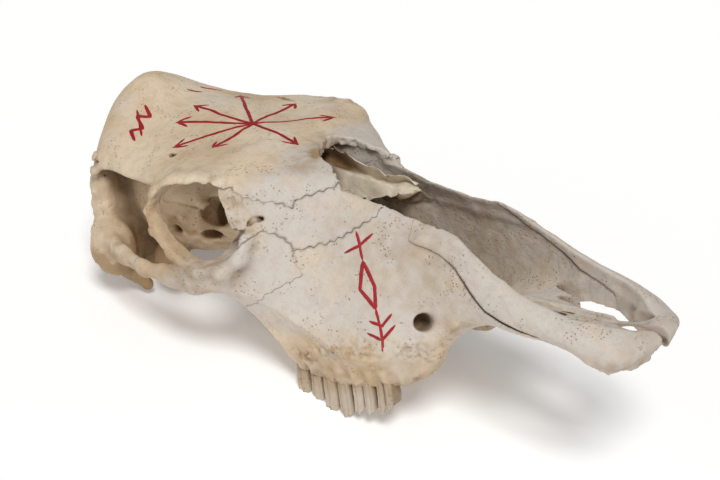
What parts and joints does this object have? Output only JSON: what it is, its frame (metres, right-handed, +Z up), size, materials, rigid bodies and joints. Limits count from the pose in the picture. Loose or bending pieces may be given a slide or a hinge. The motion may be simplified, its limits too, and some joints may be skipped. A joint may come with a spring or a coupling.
{
  "type": "cow skull",
  "caption": "Life-size cow skull without horns, lower jaw or nasal bones, lying on its cheek teeth and neck joint, nose raised.",
  "frame": {"origin": "middle of the bounding box, at the level of the floor", "axes": "+X towards the nose, +Y to the animal's left, +Z up; the nose is pitched up into the pose in which the skull rests on a level floor"},
  "size_m": [0.4784, 0.223, 0.1642],
  "materials": {
    "bone": "dry cream bone, slightly rough",
    "thin_bone": "thin tan bone, slightly rough"
  },
  "bodies": {
    "root": {"premaxilla_right": "bone", "premaxilla_left": "bone", "lacrimal_right": "bone", "lacrimal_left": "bone", "zygomatic_right": "bone", "zygomatic_left": "bone", "occipital": "bone", "temporal_right": "bone", "temporal_left": "bone", "frontal_right": "bone", "frontal_left": "bone", "palatine": "bone", "maxilla_right": "bone", "maxilla_left": "bone", "sphenoid": "bone", "vomer": "thin_bone", "turbinate_right": "thin_bone", "turbinate_left": "thin_bone"}
  },
  "joints": []
}
